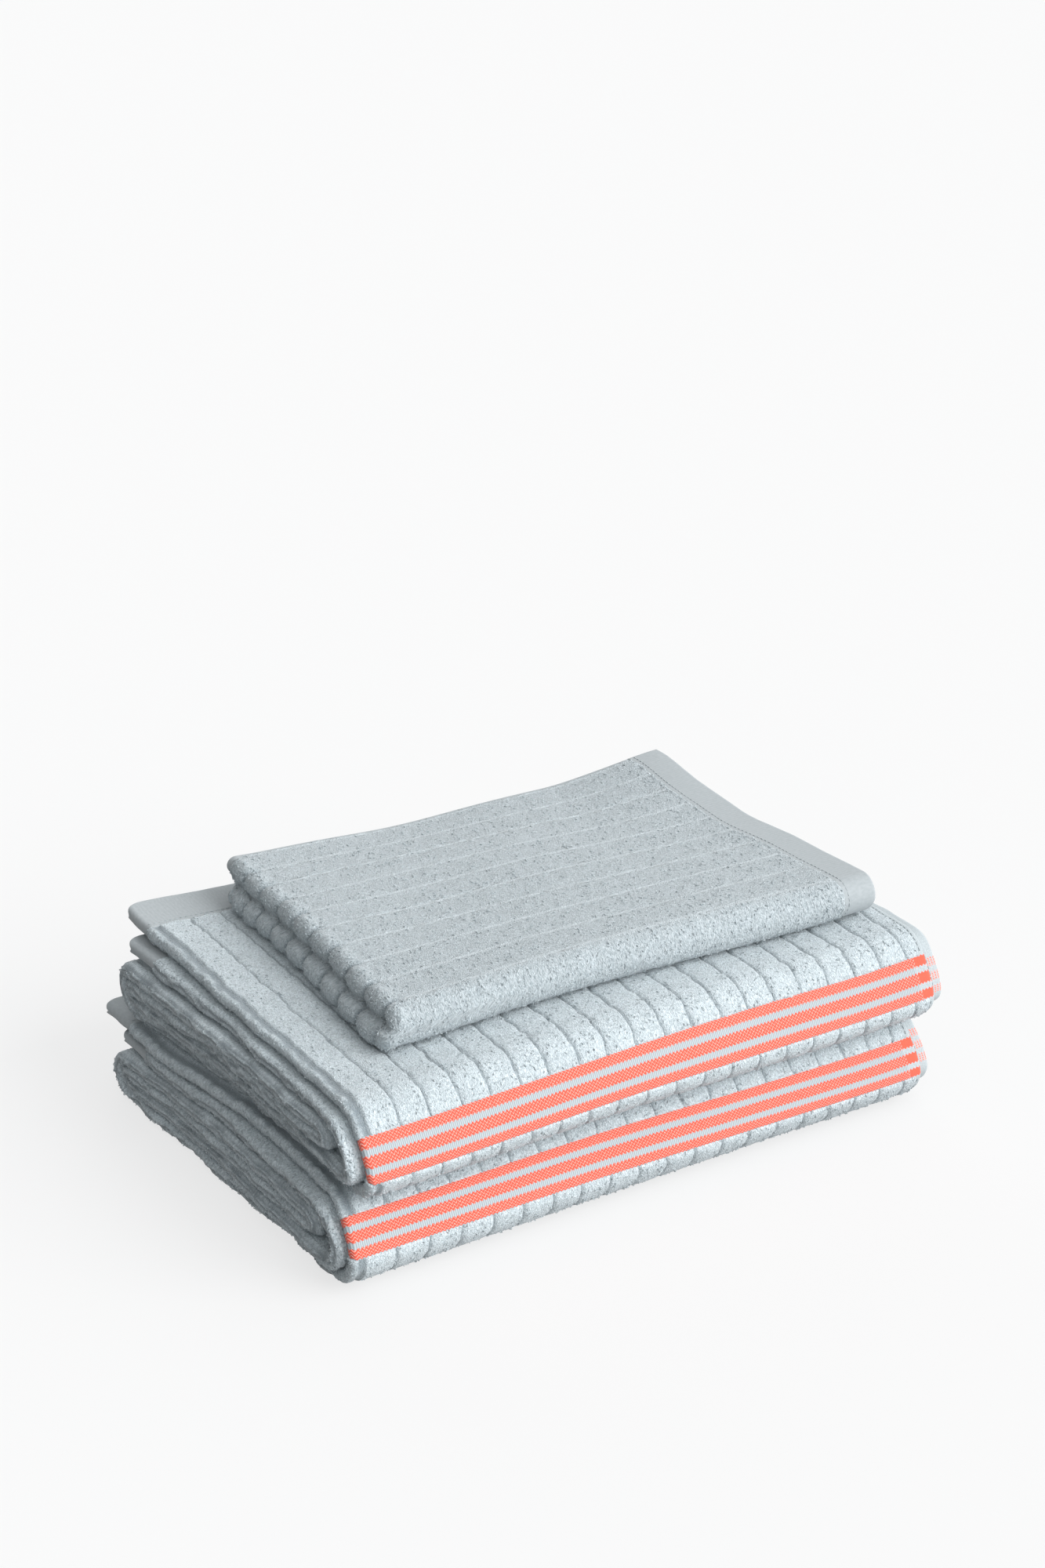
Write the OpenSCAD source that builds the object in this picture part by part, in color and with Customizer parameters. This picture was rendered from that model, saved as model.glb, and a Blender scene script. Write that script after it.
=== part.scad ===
// Stack of three folded terry towels: two striped bath towels with a hand towel on top.
// Millimetres. X runs along the striped front folds, Y to the back, Z up.
// The origin is at the middle of the stack's footprint, on the surface that it rests on.
//
// A bath towel is halved across its width (crease at -X, both selvages at +X), halved again
// along its length and then folded in three, so it lies in six layers of two plies.
// The hand towel is folded in three along its length and halved across its width at the front.

/* [Bath towel cloth] */
// Width of the cloth from selvage to selvage
bath_cloth_w = 700; // [560:10:840]
// How far the under selvage shows past the face selvage
selvage_step = 8; // [2:1:20]
// Width of the flat-woven end hems
bath_end_hem_w = 32; // [16:1:50]
// Width of the turned side hems
bath_side_hem_w = 9; // [5:1:16]
// Width of the striped border
border_w = 24; // [12:1:30]

/* [Bath towel fold] */
// Depth from the front fold to the back fold
bath_depth = 244; // [190:2:320]
// Thickness of the folded lower towel
lower_h = 51; // [40:1:72]
// Thickness of the folded upper towel
upper_h = 45; // [40:1:72]
// How far the outer end hem reaches past the back fold
outer_hem_reach = 18; // [4:1:40]
// How far the inner end hem stops short of the back fold
inner_hem_setback = 2; // [0:1:30]
// Gap between the tucked-in fold and the front fold around it
tuck_gap = 12; // [0:1:40]

/* [Hand towel] */
// Width of the folded hand towel, left fold to outer end hem
hand_w = 277; // [200:1:330]
// Depth of the folded hand towel, front fold to selvages
hand_depth = 202; // [150:1:240]
// Thickness of the folded hand towel
hand_h = 24; // [18:1:36]
// Width of its flat-woven end hems
hand_end_hem_w = 20; // [10:1:36]
// Width of its turned side hems
hand_side_hem_w = 7; // [4:1:12]
// Gap between the tucked-in end and the left fold around it
hand_tuck_gap = 8; // [0:1:30]

/* [Stack] */
// How far the upper towel lies to the right of the lower one
upper_shift = 4; // [0:1:20]
// Place of the hand towel's centre from the stack's centre, along X
hand_x = 17; // [-30:1:30]
// Place of the hand towel's centre from the stack's centre, along Y
hand_y = 11; // [-20:1:20]
// Turn of the hand towel, anticlockwise seen from above
hand_turn = -1.6; // [-4:0.1:4]

/* [Cloth] */
// Slack between layers that lie on each other
layer_slack = 0.6; // [0.3:0.1:1.2]
// Slack between the two plies of a layer
ply_slack = 0.3; // [0.2:0.1:0.8]
// How far the pile stands above the flat end hems
pile_over_end_hem = 1.3; // [0.6:0.1:1.8]
// How far the pile stands above the side hems
pile_over_side_hem = 0.6; // [0.5:0.1:1.4]
// Thickness of a row of sewing thread
thread_t = 0.3; // [0.2:0.1:0.5]
// Width of a row of sewing thread
thread_w = 0.8; // [0.4:0.1:1.2]
// Distance of a row of stitches from the edge of its hem
stitch_inset = 2; // [1:0.5:3]
// Clearance between stacked towels
stack_slack = 0.3; // [0.2:0.1:1]

/* [Hidden] */
$fn = 64;

terry_colour = "#b9c6cc";
hem_colour = "#c6d2d6";
stripe_colour = "#ff7f6e";
thread_colour = "#d3dde0";

LAYERS = 6;          // layers of a folded bath towel
HAND_PLIES = 3;      // plies of a folded hand towel, on each side of its front fold

// Plan of a bath towel: crease, selvages, front, back fold and the ends of both hems
crease_x = -(bath_cloth_w + selvage_step) / 4;
face_end_x = crease_x + (bath_cloth_w - selvage_step) / 2;
under_end_x = crease_x + (bath_cloth_w + selvage_step) / 2;
front_y = -(bath_depth + outer_hem_reach) / 2;
back_y = front_y + bath_depth;
outer_hem_y = back_y + outer_hem_reach;
inner_hem_y = back_y - inner_hem_setback;

// Heights of the towels in the stack
upper_z = lower_h + stack_slack;
hand_z = upper_z + upper_h + stack_slack;

// ---- One layer of a folded bath towel ----------------------------------------------------

// Distance between layers, from the thickness of the folded towel
function pitch(h) = (h + layer_slack) / LAYERS;
// Half the thickness of a layer
function half_layer(h) = (pitch(h) - layer_slack) / 2;
// Distance from the middle of a layer to the outside of its end hem or side hem
function end_hem_top(h) = half_layer(h) - pile_over_end_hem;
function side_hem_top(h) = half_layer(h) - pile_over_side_hem;
// Height of the middle of a layer, counted from 1 at the bottom
function layer_z(h, k) = (k - 0.5) * pitch(h) - layer_slack / 2;
// The face looks up on the even layers and down on the odd ones
function face_up(k) = k % 2 == 0;

// Straight stretch of layer k between y0 and y1, from offset a to offset b towards its face
module straight(h, k, a, b, y0, y1)
    translate([y0, layer_z(h, k) + (face_up(k) ? a : -b)]) square([y1 - y0, b - a]);

// Half of a ring, open towards +Y (side 1) or -Y (side -1)
module half_ring(y, z, inner_r, outer_r, side)
    translate([y, z]) intersection() {
        difference() {
            circle(r = outer_r);
            circle(r = inner_r);
        }
        translate([side > 0 ? -outer_r : 0, -outer_r]) square([outer_r, 2 * outer_r]);
    }

// Section through the whole folded cloth, between offsets a and b from the middle of a layer
module folded_section(h, a, b) {
    p = pitch(h);
    front_z = 3 * p - layer_slack / 2;
    back_z = 2 * p - layer_slack / 2;
    front_bend_y = front_y + 3 * p - layer_slack / 2;
    back_bend_y = back_y - 2 * p + layer_slack / 2;
    tuck_y = front_bend_y + tuck_gap;
    straight(h, 6, a, b, front_bend_y, outer_hem_y - bath_end_hem_w);
    half_ring(front_bend_y, front_z, 2.5 * p + a, 2.5 * p + b, 1);
    straight(h, 1, a, b, front_bend_y, back_bend_y);
    half_ring(back_bend_y, back_z, 1.5 * p + a, 1.5 * p + b, -1);
    straight(h, 4, a, b, tuck_y, back_bend_y);
    half_ring(tuck_y, front_z, 0.5 * p + a, 0.5 * p + b, 1);
    straight(h, 3, a, b, tuck_y, back_bend_y);
    half_ring(back_bend_y, back_z, 0.5 * p - b, 0.5 * p - a, -1);
    straight(h, 2, a, b, front_bend_y, back_bend_y);
    half_ring(front_bend_y, front_z, 1.5 * p - b, 1.5 * p - a, 1);
    straight(h, 5, a, b, front_bend_y, inner_hem_y - bath_end_hem_w);
}

// The part of the outer front fold that is flat-woven, seen in the same section
module border_zone(h) {
    p = pitch(h);
    front_r = 3 * p;
    half_angle = border_w / front_r * 90 / PI;
    translate([front_y + front_r - layer_slack / 2, front_r - layer_slack / 2])
        intersection() {
            difference() {
                circle(r = front_r + 1);
                circle(r = 2 * p);
            }
            polygon([
                [0, 0],
                [-2 * front_r, 2 * front_r * tan(half_angle)],
                [-2 * front_r, -2 * front_r * tan(half_angle)]
            ]);
        }
}

// Draws a Y-Z section from x0 to x1
module along_x(x0, x1)
    translate([x0, 0, 0]) rotate([90, 0, 90]) linear_extrude(x1 - x0) children();

// Both plies of the folded cloth with the crease that joins them, up to the side hems
module both_plies(h) {
    t = half_layer(h);
    difference() {
        along_x(crease_x, face_end_x - bath_side_hem_w) folded_section(h, -t, t);
        along_x(crease_x + t, face_end_x)
            folded_section(h, -ply_slack / 2, ply_slack / 2);
    }
    along_x(face_end_x - bath_side_hem_w, under_end_x - bath_side_hem_w)
        folded_section(h, -t, -ply_slack / 2);
}

module border_block(h)
    along_x(crease_x - 1, under_end_x - bath_side_hem_w) border_zone(h);

// ---- Pieces of a bath towel --------------------------------------------------------------

module bath_terry(h)
    color(terry_colour) difference() {
        both_plies(h);
        border_block(h);
    }

module bath_border(h)
    color(stripe_colour) intersection() {
        both_plies(h);
        border_block(h);
    }

// End hem on layer k that ends at end_y: two flat plies joined at the crease
module bath_end_hem(h, k, end_y)
    color(hem_colour) {
        start_y = end_y - bath_end_hem_w;
        top = end_hem_top(h);
        flat_x = crease_x + top;
        along_x(crease_x, flat_x)
            straight(h, k, -top, top, start_y, end_y);
        along_x(flat_x, face_end_x)
            straight(h, k, ply_slack / 2, top, start_y, end_y);
        along_x(flat_x, under_end_x)
            straight(h, k, -top, -ply_slack / 2, start_y, end_y);
    }

module bath_face_side_hem(h)
    color(hem_colour)
        along_x(face_end_x - bath_side_hem_w, face_end_x)
            folded_section(h, ply_slack / 2, side_hem_top(h));

module bath_under_side_hem(h)
    color(hem_colour)
        along_x(under_end_x - bath_side_hem_w, under_end_x)
            folded_section(h, -side_hem_top(h), -ply_slack / 2);

// Rows of lock stitches: one along each end hem and one along each side hem
module bath_hem_thread(h)
    color(thread_colour) {
        end_top = end_hem_top(h);
        side_top = side_hem_top(h);
        for (row = [[6, outer_hem_y], [5, inner_hem_y]]) {
            row_y = row[1] - bath_end_hem_w + stitch_inset;
            along_x(crease_x + end_top, face_end_x)
                straight(h, row[0], end_top, end_top + thread_t, row_y, row_y + thread_w);
        }
        face_row_x = face_end_x - bath_side_hem_w + stitch_inset;
        along_x(face_row_x, face_row_x + thread_w)
            folded_section(h, side_top, side_top + thread_t);
        under_row_x = under_end_x - bath_side_hem_w + stitch_inset;
        along_x(under_row_x, under_row_x + thread_w)
            folded_section(h, -side_top - thread_t, -side_top);
    }

// ---- Pieces of the hand towel ------------------------------------------------------------

// Thickness that one ply of the hand towel takes up
function hand_ply() = hand_h / 2 / HAND_PLIES;

// Section through one ply, a U on its side, between distances a and b from the middle
module hand_section(a, b) {
    bend_y = -hand_depth / 2 + hand_h / 2;
    translate([0, hand_h / 2]) {
        half_ring(bend_y, 0, a, b, 1);
        translate([bend_y, a]) square([hand_depth / 2 - bend_y, b - a]);
        translate([bend_y, -b]) square([hand_depth / 2 - bend_y, b - a]);
    }
}

// The folded cloth without its end hems: outer, tucked and inner ply, left and right fold
module hand_cloth() {
    t = hand_ply();
    left = -hand_w / 2;
    right = hand_w / 2;
    gap = layer_slack / 2;
    along_x(left, right - hand_end_hem_w) hand_section(2 * t + gap, 3 * t);
    along_x(left, right) hand_section(gap, t - gap);
    along_x(left + t + hand_tuck_gap + hand_end_hem_w, right) hand_section(t + gap, 2 * t - gap);
    along_x(left, left + t - gap) hand_section(gap, 3 * t);
    along_x(right - t + gap, right) hand_section(gap, 2 * t - gap);
}

// Strip along the selvages, on the upper half (side 1) or the lower half (side -1)
module selvage_block(side)
    translate([
        -hand_w / 2 - 1,
        hand_depth / 2 - hand_side_hem_w,
        side > 0 ? hand_h / 2 : -1
    ])
        cube([hand_w + 2, hand_side_hem_w + 1, hand_h / 2 + 1]);

module hand_terry()
    color(terry_colour) difference() {
        hand_cloth();
        selvage_block(1);
        selvage_block(-1);
    }

module hand_side_hem(side)
    color(hem_colour) intersection() {
        hand_cloth();
        selvage_block(side);
    }

module hand_outer_end_hem()
    color(hem_colour)
        along_x(hand_w / 2 - hand_end_hem_w, hand_w / 2)
            hand_section(2 * hand_ply() + layer_slack / 2, hand_h / 2 - pile_over_end_hem);

module hand_inner_end_hem() {
    t = hand_ply();
    hem_x = -hand_w / 2 + t + hand_tuck_gap;
    color(hem_colour)
        along_x(hem_x, hem_x + hand_end_hem_w)
            hand_section(t + layer_slack / 2, 2 * t - layer_slack / 2 - pile_over_end_hem);
}

// One row of lock stitches along the outer end hem
module hand_hem_thread() {
    row_x = hand_w / 2 - hand_end_hem_w + stitch_inset;
    hem_top = hand_h / 2 - pile_over_end_hem;
    color(thread_colour)
        along_x(row_x, row_x + thread_w)
            hand_section(hem_top, hem_top + thread_t);
}

// ---- Places in the stack -----------------------------------------------------------------

module lower_place() translate([-upper_shift / 2, 0, 0]) children();
module upper_place() translate([upper_shift / 2, 0, upper_z]) children();
module hand_place() translate([hand_x, hand_y, hand_z]) rotate([0, 0, hand_turn]) children();

lower_place() bath_terry(lower_h);  // lower_towel_terry
lower_place() bath_border(lower_h);  // lower_towel_striped_border
lower_place() bath_end_hem(lower_h, 6, outer_hem_y);  // lower_towel_outer_end_hem
lower_place() bath_end_hem(lower_h, 5, inner_hem_y);  // lower_towel_inner_end_hem
lower_place() bath_face_side_hem(lower_h);  // lower_towel_face_side_hem
lower_place() bath_under_side_hem(lower_h);  // lower_towel_under_side_hem
lower_place() bath_hem_thread(lower_h);  // lower_towel_hem_thread
upper_place() bath_terry(upper_h);  // upper_towel_terry
upper_place() bath_border(upper_h);  // upper_towel_striped_border
upper_place() bath_end_hem(upper_h, 6, outer_hem_y);  // upper_towel_outer_end_hem
upper_place() bath_end_hem(upper_h, 5, inner_hem_y);  // upper_towel_inner_end_hem
upper_place() bath_face_side_hem(upper_h);  // upper_towel_face_side_hem
upper_place() bath_under_side_hem(upper_h);  // upper_towel_under_side_hem
upper_place() bath_hem_thread(upper_h);  // upper_towel_hem_thread
hand_place() hand_terry();  // hand_towel_terry
hand_place() hand_outer_end_hem();  // hand_towel_outer_end_hem
hand_place() hand_inner_end_hem();  // hand_towel_inner_end_hem
hand_place() hand_side_hem(1);  // hand_towel_face_side_hem
hand_place() hand_side_hem(-1);  // hand_towel_under_side_hem
hand_place() hand_hem_thread();  // hand_towel_hem_thread
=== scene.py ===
import math
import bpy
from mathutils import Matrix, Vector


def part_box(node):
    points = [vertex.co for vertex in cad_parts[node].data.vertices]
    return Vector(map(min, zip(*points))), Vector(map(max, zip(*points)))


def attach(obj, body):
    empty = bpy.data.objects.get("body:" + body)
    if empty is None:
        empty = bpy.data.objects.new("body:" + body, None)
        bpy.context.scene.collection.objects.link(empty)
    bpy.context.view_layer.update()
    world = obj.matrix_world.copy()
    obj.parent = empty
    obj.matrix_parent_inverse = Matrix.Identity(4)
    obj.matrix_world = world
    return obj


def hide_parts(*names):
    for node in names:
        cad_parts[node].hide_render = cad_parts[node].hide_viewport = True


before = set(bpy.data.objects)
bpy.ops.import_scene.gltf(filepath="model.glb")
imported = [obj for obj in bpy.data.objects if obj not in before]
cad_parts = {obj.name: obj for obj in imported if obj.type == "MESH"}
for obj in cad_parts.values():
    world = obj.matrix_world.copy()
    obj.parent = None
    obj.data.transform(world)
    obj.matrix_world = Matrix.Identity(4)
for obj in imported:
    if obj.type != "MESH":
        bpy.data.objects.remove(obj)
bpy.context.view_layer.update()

from types import SimpleNamespace

import bmesh
import bpy
import numpy as np
from mathutils import Vector

# ---- Sizes, in metres ---------------------------------------------------------------------

MM = 0.001
LAYER_SLACK = 0.6 * MM
PLY_SLACK = 0.3 * MM
TUCK_GAP = 12 * MM
HAND_TUCK_GAP = 8 * MM

RIB_PITCH = 17.2 * MM            # bath towel: distance between the grooves in the pile
GROOVE_DEPTH = 0.9 * MM
CREASE_GROOVE_X = 5.0 * MM       # the groove that lies on the crease, from the crease
FIRST_GROOVE_X = 23.8 * MM       # the first groove beside it, from the crease
HAND_RIB_PITCH = 20.4 * MM
HAND_HEM_W = 20 * MM
SIDE_HEM_W = 9 * MM
SIDE_HEM_SHOWN = 3.5 * MM        # what the pile leaves bare of a face side hem
BORDER_W = 24 * MM
STRIPE_W = 5.6 * MM
STRIPE_STEP = 9 * MM
FLOAT_PITCH = 2.2 * MM           # of the coral floats; drawn twice as coarse as they are woven
SCALLOP = 0.42 * MM              # how far the floats reach in and out along a stripe's edge
HEM_PLY = 2.2 * MM               # thickness of a flat-woven hem, turned under once
HEM_CORNER = 9 * MM              # radius of a hem's soft corner at the crease
GROUND_DROP = 1.3 * MM           # from the top of the pile down to the ground weave
PILE_GRAIN = 0.22 * MM           # unevenness of the pile from loop to loop
STITCH_PITCH = 3.0 * MM
STITCH_LENGTH = 2.3 * MM
THREAD_RADIUS = 0.28 * MM        # drawn thicker than the thread is, so that it shows at all
STITCH_INSET = 2.2 * MM          # from the edge of a hem to its stitches
PILE_LOOPS = 2.2e5               # loops on a square metre where the pile is thickest
LOOP_RADIUS = 0.55 * MM          # one loop of pile, and the yarn that it is made of
YARN_RADIUS = 0.24 * MM
LOOP_LEAN = 0.7                  # radians: how far a loop leans off upright at most
FLOAT_ROW = 0.95 * MM            # from one row of coral floats to the gap beside it
GROUND_YARN = 0.55 * MM          # half the pitch of the border's pale yarns
BACK_SETTLE = 7 * MM             # the lower towel is pressed thinner at the back left corner
FRONT_SAG = 8 * MM               # how far the bath towels' front folds bulge low down
HAND_SPREAD = 4 * MM             # how far the hand towel's soft left fold spreads
HAND_LOW_OUT = 6 * MM            # the hand towel's lower half shows beyond the upper one
HAND_LOW_SHORT = 15 * MM         # and stops short of it at the back
HAND_FLARE = 9 * MM              # its hemmed end is folded wider at the front
HAND_PILLOW = 3.2 * MM           # height of a rib's pillow where it goes round the left fold
HAND_CORNER_RISE = 8.5 * MM      # its back right corner stands up
HAND_DIP = 2.5 * MM              # and its back edge dips in the middle
BATH_STACK_H = 97 * MM           # height of the two bath towels, which the stack's lie grows over
STACK_WAVE = 1.1 * MM            # slow unevenness of the whole stack
BACK_LEFT_RISE = 3.0 * MM
FRONT_LEFT_DROP = 3.6 * MM
RIGHT_RISE = 1.2 * MM
FLOOR_CLEAR = 0.9 * MM           # cloth stays this far off the floor, for the loops on it

HAND_TURN = math.radians(-1.6)

KEY_FROM = Vector((0.55, -0.74, 0.54))   # towards the key light
KEY_LIGHT = 2.95
FILL_FROM = Vector((0.30, 0.93, 0.20))   # towards a weak light behind the stack
FILL_LIGHT = 0.9
BOX_LIGHT = 1.1
ROOM_LIGHT = 0.11
SUN_ANGLE = math.radians(50)     # wide, for soft shadows
FLOOR_GLOW, WALL_GLOW = 0.71, 0.955
TABLE_ALBEDO = 0.2
STUDIO_SIZE = 40.0
LENS = 53.9                      # mm, on a sensor 36 mm wide
CAMERA_AT = Vector((-0.6017, -0.9615, 0.6449))
CAMERA_LOOKS = Vector((0.4886, 0.7849, -0.3811))

MATH, MIX = "ShaderNodeMath", "ShaderNodeMix"
NOISE, RAMP = "ShaderNodeTexNoise", "ShaderNodeValToRGB"


# ---- Small helpers ------------------------------------------------------------------------

def smooth(start, end, x):
    """0 before start, 1 after end and a soft step between them."""
    t = np.clip((x - start) / (end - start), 0, 1)
    return t * t * (3 - 2 * t)


def noise(x, y, seed):
    """Soft value noise from -1 to 1, with lumps one unit wide."""
    xi, yi = np.floor(x).astype(np.int64), np.floor(y).astype(np.int64)
    fx, fy = x - xi, y - yi
    fx, fy = fx * fx * (3 - 2 * fx), fy * fy * (3 - 2 * fy)

    def corner(i, j):
        h = (i * 374761393 + j * 668265263 + seed * 974634777) & 0xFFFFFFFF
        h = ((h ^ (h >> 13)) * 1274126177) & 0xFFFFFFFF
        return ((h ^ (h >> 16)) & 0xFFFF) / 32767.5 - 1

    low = corner(xi, yi) * (1 - fx) + corner(xi + 1, yi) * fx
    high = corner(xi, yi + 1) * (1 - fx) + corner(xi + 1, yi + 1) * fx
    return low * (1 - fy) + high * fy


def steps(start, end, size):
    """Evenly spaced values from start to end, at most size apart."""
    return np.linspace(start, end, max(2, int(math.ceil(abs(end - start) / size)) + 1))


def joined(*runs):
    """Several sorted runs as one sorted run without repeats."""
    values = np.unique(np.round(np.concatenate(runs), 7))
    keep = np.concatenate([[True], np.diff(values) > 0.02 * MM])
    return values[keep]


def spaced(knots, sizes):
    """One sorted run through the knots; between each two, steps of at most their size in mm."""
    return joined(*[steps(a, b, size * MM) for a, b, size in zip(knots, knots[1:], sizes)])


def linked(name, data):
    """A new object of this data, in the scene."""
    obj = bpy.data.objects.new(name, data)
    bpy.context.scene.collection.objects.link(obj)
    return obj


# ---- Folding: where a point of the flat cloth lies ----------------------------------------

def fold_line(start, heading, runs):
    """A folded line in a plane: straight runs (length, 0) and bends (length, angle)."""
    lengths = np.array([r[0] for r in runs])
    turns = np.array([r[1] for r in runs])
    points, headings = [np.array(start, float)], [heading]
    for length, turn in runs:
        a0, p = headings[-1], points[-1]
        if turn:
            k = turn / length
            a1 = a0 + turn
            step = np.array([math.sin(a1) - math.sin(a0), math.cos(a0) - math.cos(a1)]) / k
        else:
            a1, step = a0, length * np.array([math.cos(a0), math.sin(a0)])
        points.append(p + step)
        headings.append(a1)
    ends = np.concatenate([[0], np.cumsum(lengths)])
    return SimpleNamespace(lengths=lengths, turns=turns, points=np.array(points),
                           headings=np.array(headings), ends=ends, total=ends[-1])


def along(line, s, lift):
    """The point at distance s along a fold line, lifted off it towards the cloth's face."""
    i = np.clip(np.searchsorted(line.ends, s, side="right") - 1, 0, len(line.lengths) - 1)
    ds, a0, p = s - line.ends[i], line.headings[i], line.points[i]
    k = line.turns[i] / line.lengths[i]
    bent = np.abs(k) > 1e-9
    safe = np.where(bent, k, 1.0)
    a = a0 + k * ds
    u = p[..., 0] + np.where(bent, (np.sin(a) - np.sin(a0)) / safe, np.cos(a0) * ds)
    v = p[..., 1] + np.where(bent, (np.cos(a0) - np.cos(a)) / safe, np.sin(a0) * ds)
    return u + lift * np.sin(a), v - lift * np.cos(a)


def measure_bath(name, body, seed, slides, border_up, skew, droop, stretch):
    """A bath towel's fold lines, taken from its CAD nodes."""
    lo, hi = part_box(f"{name}_terry")
    face_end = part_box(f"{name}_face_side_hem")[1].x
    under_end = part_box(f"{name}_under_side_hem")[1].x
    hem_lo, hem_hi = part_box(f"{name}_outer_end_hem")
    inner_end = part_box(f"{name}_inner_end_hem")[1].y
    crease, front, back, bottom = lo.x, lo.y, hi.y, lo.z
    p = (hi.z - lo.z + LAYER_SLACK) / 6
    gap = LAYER_SLACK / 2
    half = p / 2 - gap
    ply = half - PLY_SLACK / 2
    q = half - ply / 2
    bend_x = crease + half
    front_bend, back_bend = front + 3 * p - gap, back - 2 * p + gap
    tuck = front_bend + TUCK_GAP
    half_turn = math.pi
    across = fold_line((face_end, q), half_turn,
                       [(face_end - bend_x, 0), (half_turn * q, half_turn), (under_end - bend_x, 0)])
    lengthwise = fold_line((hem_hi.y, bottom + 5.5 * p - gap), half_turn, [
        (hem_hi.y - front_bend, 0), (half_turn * 2.5 * p, half_turn),      # top, front fold
        (back_bend - front_bend, 0), (half_turn * 1.5 * p, half_turn),     # bottom, back fold
        (back_bend - tuck, 0), (half_turn * 0.5 * p, half_turn),           # fourth, tucked fold
        (back_bend - tuck, 0), (half_turn * 0.5 * p, -half_turn),          # third
        (back_bend - front_bend, 0), (half_turn * 1.5 * p, -half_turn),    # second
        (inner_end - front_bend, 0)])                                      # fifth
    middle = lengthwise.ends[1] + lengthwise.lengths[1] / 2 - border_up
    return SimpleNamespace(
        name=name, body=body, seed=seed, slides=slides, ply=ply, half=half, pitch=p,
        across=across, lengthwise=lengthwise, crease=crease, face_end=face_end,
        hem_w=hem_hi.y - hem_lo.y, border_middle=middle, bend_at=across.ends[1],
        bend_end=across.ends[2], crease_groove=face_end - (crease + CREASE_GROOVE_X),
        border_scale=stretch * 3 * p / (2.5 * p + q), middle_x=(crease + under_end) / 2, turn=0.0,
        centre=(0.0, 0.0), bottom=bottom, droop=droop, skew=skew, kind="bath")


def measure_hand(name, body, seed):
    """The hand towel's fold lines: in three along its length, then halved at the front."""
    lo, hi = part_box(f"{name}_terry")
    hem_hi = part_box(f"{name}_outer_end_hem")[1]
    side_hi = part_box(f"{name}_face_side_hem")[1]
    t = (hi.z - lo.z) / 6
    turn = HAND_TURN
    box_w, box_d = hem_hi.x - lo.x, side_hi.y - lo.y
    c, s = math.cos(turn), abs(math.sin(turn))
    width = (box_w * c - box_d * s) / (c * c - s * s) + HAND_SPREAD
    depth = (box_d * c - box_w * s) / (c * c - s * s)
    cx = (lo.x + hem_hi.x) / 2 - HAND_SPREAD / 2
    cy = (lo.y + side_hi.y) / 2
    half_turn = math.pi
    across = fold_line((width / 2, t), half_turn, [
        (width - 1.4 * t, 0), (half_turn * t, half_turn),
        (width - 2.5 * t, 0), (half_turn * 0.5 * t, half_turn),
        (width - 2.2 * t - HAND_TUCK_GAP, 0)])
    lengthwise = fold_line((depth / 2, lo.z + 4.5 * t), half_turn, [
        (depth - 3 * t, 0), (half_turn * 1.5 * t, half_turn), (depth - 3 * t, 0)])
    return SimpleNamespace(
        name=name, body=body, seed=seed, slides=None, ply=t - LAYER_SLACK, half=t / 2, pitch=t,
        across=across, lengthwise=lengthwise, turn=turn,
        centre=(cx, cy), hem_w=HAND_HEM_W, bend_at=across.ends[1], kind="hand", middle_x=0.0)


def slide(towel, x, b):
    """How far each layer has crept out at the crease and at the selvages."""
    knots = towel.lengthwise.ends
    at = np.interp(b, knots, towel.slides[0] * MM)
    right = np.interp(b, knots, towel.slides[1] * MM)
    reach = towel.middle_x - towel.crease
    out = np.clip((towel.middle_x - x) / reach, 0, 1.2)
    back = np.clip((x - towel.middle_x) / reach, 0, 1.2)
    return at * out ** 2 + right * back ** 2


def rumple(towel, x, y, z, b):
    """Small unevenness of each layer, so that no edge is ruler-straight."""
    edge = smooth(0.10, 0.17, np.abs(x))
    x = x + 1.8 * MM * edge * noise(y / 0.055, b / 0.12, towel.seed + 2)
    x = x + 1.0 * MM * edge * noise(y / 0.022, b / 0.12, towel.seed)
    x = x + 0.6 * MM * edge * noise(y / 0.009, b / 0.11, towel.seed + 1)
    return x, y, z


def front_sag(towel, y, z):
    """The front fold is fuller low down than a true half round, and hangs over what it lies on."""
    share = (z - towel.bottom) / (6 * towel.pitch)
    low = smooth(-0.02, 0.10, share) * smooth(0.80, 0.30, share)
    drop = towel.droop * smooth(-0.100, -0.130, y) * smooth(1.05, 0.30, share)
    return y - FRONT_SAG * low * smooth(-0.065, -0.118, y), z - drop


def stack_drape(x, y, z):
    """The soft lie of the whole stack: one smooth field, so that towels stay clear of each other."""
    share = np.clip(z / BATH_STACK_H, 0, 1.06)
    lift = STACK_WAVE * noise(x / 0.13 + 3.1, y / 0.11 + 1.7, 5)
    lift = lift + BACK_LEFT_RISE * smooth(-0.10, -0.19, x) * smooth(-0.02, 0.12, y)
    lift = lift - FRONT_LEFT_DROP * smooth(0.0, -0.17, x) * smooth(0.02, -0.10, y)
    lift = lift + RIGHT_RISE * smooth(0.12, 0.18, x)
    settle = BACK_SETTLE * smooth(-0.06, -0.17, x) * smooth(-0.03, 0.10, y)
    z = z + lift * share - settle * np.sin(math.pi * np.clip(z / BATH_STACK_H, 0, 1))
    y = y + 1.2 * MM * noise(x / 0.09 + 0.4, z / 0.05, 9) * smooth(-0.06, -0.13, y)
    return x, y, z


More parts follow.
